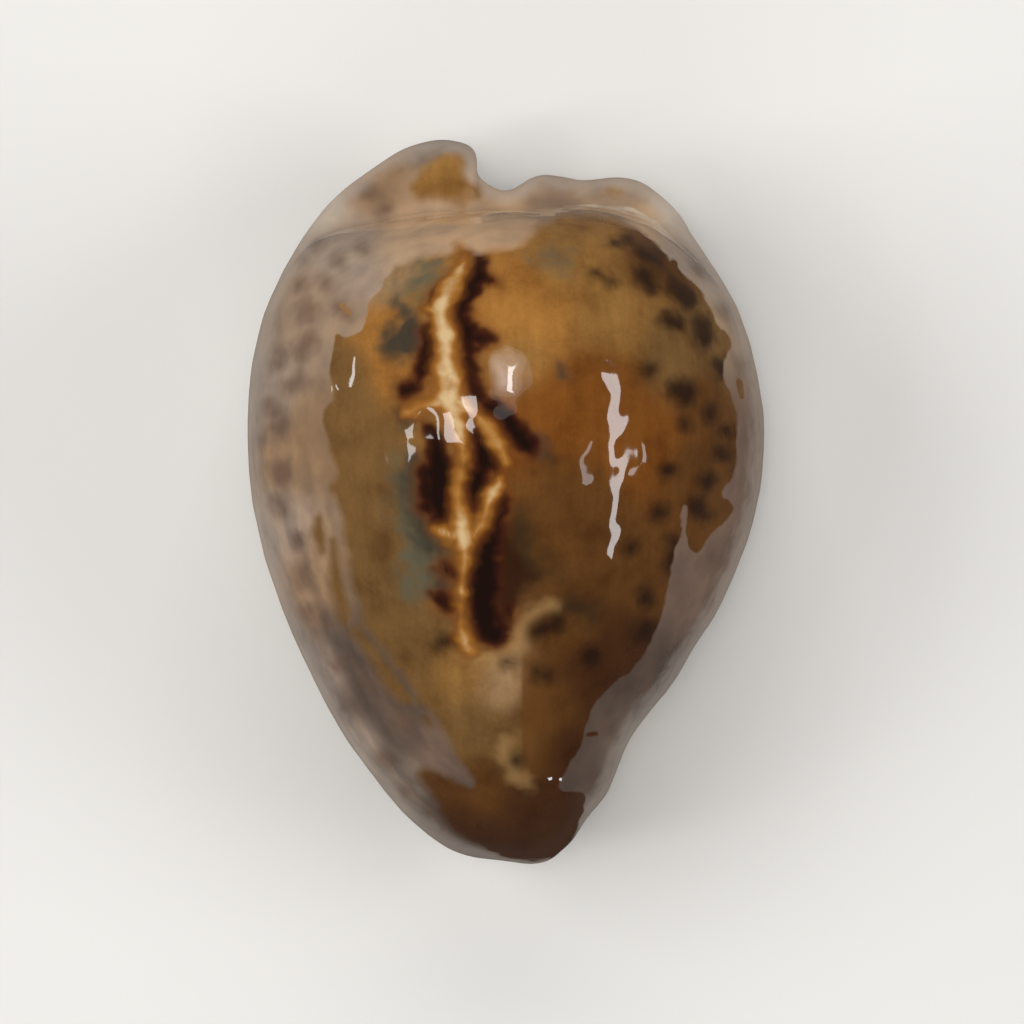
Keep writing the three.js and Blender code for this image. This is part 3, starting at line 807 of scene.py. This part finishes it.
def toneField(places, zones):
    total = np.zeros((len(places), 3))
    weights = np.zeros(len(places))
    for name, spans in zones.items():
        tone = np.array(linear(markings["palette"][name]))
        for x, y, reach in spans:
            away = ((places[:, 0] - x) ** 2 + (places[:, 1] - y) ** 2) / reach ** 2
            weight = 1 / (1 + away) ** 4
            total += weight[:, None] * tone
            weights += weight
    return total / weights[:, None]


def markPoints(form):
    places = seenFromAbove(form.points)
    fields = {name: strokeDistance(places, markings[name]) for name in
              ("mantleGap", "darkMark", "slate", "moss", "dusk", "rust", "creamFringe", "creaseLine", "spots",
               "coveredSpots")}
    callus = edgeDistance(places, markings["callusEdge"])
    callus = np.minimum(callus, strokeDistance(places, markings["windows"]))
    callus = np.maximum(callus, -strokeDistance(places, markings["tongues"]))
    fields["callus"] = callus
    x, y = places.T
    endX, endY = markings["lowLeft"]
    lowLeft = (1 - ease(*endX, x)) * (1 - ease(*endY, y))
    endX, startY = markings["hind"]
    hind = ease(*startY, y) * (1 - ease(*endX, x))
    fields["callusBlur"] = blend(*markings["edgeBlur"], np.maximum(lowLeft, hind))
    fields["rim"] = -edgeDistance(places, shell["outline"])  # mm in from the outline
    ahead, aside = (places @ axis for axis in markings["ridgeAxes"])
    fields["around"] = markings["ridgeRadius"] * np.arctan2(aside, ahead)
    fields["ridged"] = lowLeft * (1 - ease(*markings["ridgeEnd"], fields["rim"]))
    seam = markings["seam"]
    past = x - seam["x"]
    within = ease(*seam["bottom"], y) * (1 - ease(*seam["top"], y))
    fields["seam"] = ease(*seam["edge"], past) * (1 - ease(0, seam["fade"], past)) * within
    none, whole = ([0, 1], [0, 0]), ([0, 1], [1, 1])
    fields["underside"] = form.share({
        "dome": none, "roll": none, "lowerRoll": ([0, 1], [0, 1]), "flat": whole, "lip": whole,
        "floor": whole, "ceiling": whole})
    fields["inside"] = form.share({
        "dome": none, "roll": none, "lowerRoll": none, "flat": none, "lip": ([0, 1], [0, 0.3]),
        "floor": ([0, 0.5, 1], [0.3, 1, 1]), "ceiling": whole})
    fields["loose"] = form.share({  # how far the relief may move it: not where the back meets the margin
        "dome": ([0, 0.86, 0.98, 1], [1, 1, 0, 0]), "roll": ([0, 0.3, 1], [0, 0, 1]), "lowerRoll": whole,
        "flat": whole, "lip": whole, "floor": whole, "ceiling": whole})
    tones = {"backTone": toneField(places, markings["backTones"]),
             "callusTone": toneField(places, markings["callusTones"])}
    return fields, tones


fields, tones = markPoints(form)
print("markings ready")


def makeMesh(form, fields, tones):
    mesh = bpy.data.meshes.new("shellForm")
    mesh.from_pydata((form.points * mm).tolist(), [], form.faces)
    for name, values in fields.items():
        layer = mesh.attributes.new(name, "FLOAT", "POINT")
        layer.data.foreach_set("value", values.astype(np.float32))
    for name, colours in tones.items():
        layer = mesh.attributes.new(name, "FLOAT_COLOR", "POINT")
        opaque = np.hstack([colours, np.ones((len(colours), 1))])
        layer.data.foreach_set("color", opaque.astype(np.float32).ravel())
    mesh.update()
    return mesh


# The enamel: the painted back under a clear glaze, the callus, the pale base and the inside

enamel = {
    "gapTones": [(202, 172, 126), (160, 106, 42), (108, 60, 18)],  # middle, edge, and the glow round it
    "darkTones": [(24, 8, 4), (58, 22, 9), (112, 62, 22)],
    "slateTone": (48, 49, 42),
    "mossTone": (88, 86, 69),
    "duskTone": (46, 34, 18),
    "creamTone": (168, 132, 84),
    "spotTone": (36, 18, 8),
    "coveredSpotTone": (86, 68, 58),
    # pale tone at the outline: partly the margin's paler edge, partly painted sheen
    "paleRimAndSheenTone": (176, 166, 156),
    # the pale tone of the painted highlight along the crease
    "creaseHighlightTone": (206, 192, 172),
    "seamTone": (96, 60, 24),
    "baseTone": (188, 170, 148),
    "baseBlush": (170, 140, 116),
    "insideTone": (196, 186, 182),
    "gapTan": (168, 126, 76),
    "rustTone": (46, 22, 8),
    "edgeWander": 0.5,  # mm, how far the noise moves the edges of the markings
    "barbLength": 0.35,  # mm, and how far it draws them out sideways
    "callusCover": 0.86,
    "roughness": 0.3,
    "coatRoughness": 0.04,
}


def makeEnamel():
    material = bpy.data.materials.new("cowrieEnamel")
    material.use_nodes = True
    g = Graph(material.node_tree)
    place = g.node("ShaderNodeTexCoord", output=3)
    squeezed = g.node("ShaderNodeVectorMath", {"operation": "MULTIPLY"}, {0: place, 1: (0.3, 1, 0.6)})
    lengthened = g.node("ShaderNodeVectorMath", {"operation": "MULTIPLY"}, {0: place, 1: (1, 0.12, 0.5)})
    wander = (g.noise(place, 1.3 * mm, 1.6) - 0.5) * (2 * enamel["edgeWander"])
    barbs = (g.noise(squeezed, 0.9 * mm, 0.8) - 0.5) * (2 * enamel["barbLength"])
    fine = (g.noise(place, 0.3 * mm, 2.0) - 0.5) * 0.25
    broad = g.noise(place, 3.2 * mm, 4.0, 0.6)
    bands = g.noise(lengthened, 0.9 * mm, 3.0, 0.6)
    speckle = g.noise(place, 0.22 * mm, 2.0, 0.7)
    edge = wander + fine
    barbed = wander + barbs

    def shaded(colour, field, stops, strength=1.0):  # darker and lighter by a noise
        shades = g.node("ShaderNodeValToRGB", {"stops": stops}, {"Fac": field})
        return g.mix(strength, colour, shades, "MULTIPLY")

    colour = shaded(g.attribute("backTone", colour=True), broad,
                    [(0.3, (0.72, 0.66, 0.6)), (0.5, (1, 1, 1)), (0.72, (1.2, 1.22, 1.25))])
    colour = shaded(colour, speckle, [(0.25, (0.92, 0.9, 0.88)), (0.75, (1.06, 1.06, 1.06))])
    colour = shaded(colour, bands, [(0.3, (0.84, 0.8, 0.76)), (0.7, (1.1, 1.1, 1.08))], 0.7)

    # inner and outer are mm from a marking's edge: where it covers fully, and where it ends
    def lay(colour, name, tone, inner, outer, strength=1.0, wandering=edge):
        cover = 1 - g.between(g.attribute(name) + wandering, inner, outer)
        return g.mix(cover * strength, colour, paint(tone))

    colour = g.mix(g.attribute("seam") * 0.75, colour, paint(enamel["seamTone"]))
    mottle = g.between(broad, 0.38, 0.62)
    colour = lay(colour, "moss", enamel["mossTone"], -0.9, 1.5, mottle * 0.5 + 0.45, wander * 3.5)
    colour = lay(colour, "dusk", enamel["duskTone"], -0.9, 1.3, 0.8, wander * 2.0)
    colour = lay(colour, "creamFringe", enamel["creamTone"], -0.6, 1.0, 0.6, wander * 1.5)
    colour = lay(colour, "spots", enamel["spotTone"], -0.5, 0.8, 0.9, wander * 1.1)
    colour = lay(colour, "slate", enamel["slateTone"], -0.6, 0.9, mottle * 0.12 + 0.88, wander * 1.8)
    darkInner, darkEdge, darkGlow = enamel["darkTones"]
    colour = lay(colour, "darkMark", darkGlow, -0.1, 1.2, 0.6, barbed)
    colour = lay(colour, "rust", enamel["rustTone"], -0.6, 1.0, 0.95, wander * 1.5)
    colour = lay(colour, "darkMark", darkEdge, -0.2, 0.55, 0.95, barbed)
    colour = lay(colour, "darkMark", darkInner, -0.7, 0.25, 1.0, barbed)
    gapInner, gapEdge, gapGlow = enamel["gapTones"]
    colour = lay(colour, "mantleGap", gapGlow, -0.1, 0.9, 0.8, barbed)
    colour = lay(colour, "mantleGap", gapEdge, -0.35, 0.4, 1.0, barbed)
    gapMiddle = g.mix(g.between(broad, 0.4, 0.6), paint(enamel["gapTan"]), paint(gapInner))
    gapCover = 1 - g.between(g.attribute("mantleGap") + barbed, -0.65, 0.0)
    colour = g.mix(gapCover, colour, gapMiddle)

    blur = g.attribute("callusBlur")
    cover = g.between((g.attribute("callus") + wander * 0.5) / blur, -1.0, 1.2)
    callusColour = g.attribute("callusTone", colour=True)
    spotCover = 1 - g.between(g.attribute("coveredSpots") + wander, -0.6, 0.8)
    callusColour = g.mix(spotCover * 0.75, callusColour, paint(enamel["coveredSpotTone"]))
    callusColour = shaded(callusColour, g.noise(place, 2.2 * mm, 3.0),
                          [(0.3, (0.98, 0.98, 1.02)), (0.7, (1.42, 1.38, 1.32))])
    # the lower-left ridges get light and dark stripes: painted highlight streaks and painted shade along the
    # ridges, besides their bump
    across = g.node("ShaderNodeCombineXYZ", None,
                    {"X": g.attribute("rim") + wander, "Y": g.attribute("around") * 0.08})
    ridges = g.noise(across, 1.1, 1.0)
    ridgeLightAndShadeStripes = shaded(callusColour, ridges, [(0.35, (0.78, 0.8, 0.86)), (0.65, (1.3, 1.28, 1.26))])
    ridged = g.attribute("ridged")
    callusColour = g.mix(ridged, callusColour, ridgeLightAndShadeStripes)
    # a pale band along the outline: partly the margin's paler edge, partly painted sheen standing in for the
    # glaze's grazing reflection
    paleRimAndSheenCover = 1 - g.between(g.attribute("rim") + wander, 0.1, 1.3)
    callusColour = g.mix(paleRimAndSheenCover * 0.55, callusColour, paint(enamel["paleRimAndSheenTone"]))
    colour = g.mix(cover * enamel["callusCover"], colour, callusColour)
    # painted highlight: a thin pale line laid along the fold where the back meets the margin
    creaseHighlightCover = 1 - g.between(g.attribute("creaseLine") + fine * 0.4, 0.0, 0.16)
    creaseHighlightCover = creaseHighlightCover * (1 - g.attribute("loose"))
    colour = g.mix(creaseHighlightCover * 0.6, colour, paint(enamel["creaseHighlightTone"]))

    under = g.attribute("underside")
    baseColour = g.mix(g.noise(place, 6 * mm, 3.0), paint(enamel["baseTone"]), paint(enamel["baseBlush"]))
    colour = g.mix(g.between(under + wander * 0.2, 0.25, 0.75), colour, baseColour)
    colour = g.mix(g.between(g.attribute("inside"), 0.1, 0.9), colour, paint(enamel["insideTone"]))

    ripple = g.noise(place, 1.2 * mm, 2.0) + ridges * ridged * 2.5
    bump = g.node("ShaderNodeBump", None, {"Strength": 0.25, "Distance": 0.06 * mm, "Height": ripple})
    surface = g.node("ShaderNodeBsdfPrincipled", None, {
        "Base Color": colour,
        "Roughness": enamel["roughness"] + (broad - 0.5) * 0.1,
        "Normal": bump,
        "Coat Weight": g.between(g.attribute("rim"), 0.0, 0.9) * 0.7 + 0.3,
        "Coat Roughness": enamel["coatRoughness"],
        "IOR": 1.5,
        "Specular IOR Level": 0.0,
    })
    g.node("ShaderNodeOutputMaterial", None, {"Surface": surface})
    return material


# The relief: the callus stands a little proud, and the glaze is gently hammered

relief = {
    "Callus Thickness": 0.05 * mm,
    "Wave Depth": 0.14 * mm,
    "Wave Size": 3.4 * mm,
    "Ripple Depth": 0.022 * mm,
    "Ripple Size": 1.5 * mm,
    "Seed": 4.0,
}


def reliefTree(material):
    tree = bpy.data.node_groups.new("enamelRelief", "GeometryNodeTree")
    tree.interface.new_socket("Geometry", in_out="INPUT", socket_type="NodeSocketGeometry")
    for name in relief:
        tree.interface.new_socket(name, in_out="INPUT", socket_type="NodeSocketFloat")
    tree.interface.new_socket("Material", in_out="INPUT", socket_type="NodeSocketMaterial")
    tree.interface.new_socket("Geometry", in_out="OUTPUT", socket_type="NodeSocketGeometry")
    g = Graph(tree)
    entry = g.node("NodeGroupInput").socket.node
    given = {socket.name: Value(g, socket) for socket in entry.outputs if socket.name}

    def named(name):
        return g.node("GeometryNodeInputNamedAttribute", {"data_type": "FLOAT"}, {"Name": name})

    back = (1 - g.between(named("underside"), 0.0, 0.35)) * named("loose")
    raised = g.between(named("callus"), -0.15, 0.2) * given["Callus Thickness"]
    position = g.node("GeometryNodeInputPosition")

    def uneven(name):
        sockets = {"Vector": position, "W": given["Seed"], "Scale": 1 / given[name + " Size"], "Detail": 1.0}
        noise = g.node("ShaderNodeTexNoise", {"noise_dimensions": "4D"}, sockets)
        return (noise - 0.5) * given[name + " Depth"] * 2.0

    normal = g.node("GeometryNodeInputNormal")
    offset = g.node("ShaderNodeVectorMath", {"operation": "SCALE"},
                    {0: normal, "Scale": (raised + uneven("Wave") + uneven("Ripple")) * back})
    moved = g.node("GeometryNodeSetPosition", None, {"Geometry": given["Geometry"], "Offset": offset})
    smooth = g.node("GeometryNodeSetShadeSmooth", None, {"Geometry": moved})
    real = g.node("GeometryNodeRealizeInstances", None, {"Geometry": smooth})
    dressed = g.node("GeometryNodeSetMaterial", None, {"Geometry": real, "Material": given["Material"]})
    g.node("NodeGroupOutput", None, {"Geometry": dressed})
    return tree


def makeShell():
    material = makeEnamel()
    draft = bpy.data.objects.new("shellDraft", makeMesh(form, fields, tones))
    bpy.context.collection.objects.link(draft)
    modifier = draft.modifiers.new("relief", "NODES")
    modifier.node_group = reliefTree(material)
    for item in modifier.node_group.interface.items_tree:
        if item.in_out == "INPUT" and item.name in relief:
            modifier[item.identifier] = float(relief[item.name])
        elif item.in_out == "INPUT" and item.name == "Material":
            modifier[item.identifier] = material
    graph = bpy.context.evaluated_depsgraph_get()
    mesh = bpy.data.meshes.new_from_object(draft.evaluated_get(graph), preserve_all_data_layers=True,
                                           depsgraph=graph)
    mesh.name = "cowrieShell"
    draft.modifiers.remove(modifier)
    bpy.data.objects.remove(draft)
    piece = bpy.data.objects.new("cowrieShell", mesh)
    bpy.context.collection.objects.link(piece)
    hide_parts("shell")
    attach(piece, "root")
    return piece


piece = makeShell()
print("shell ready,", len(piece.data.polygons), "faces")
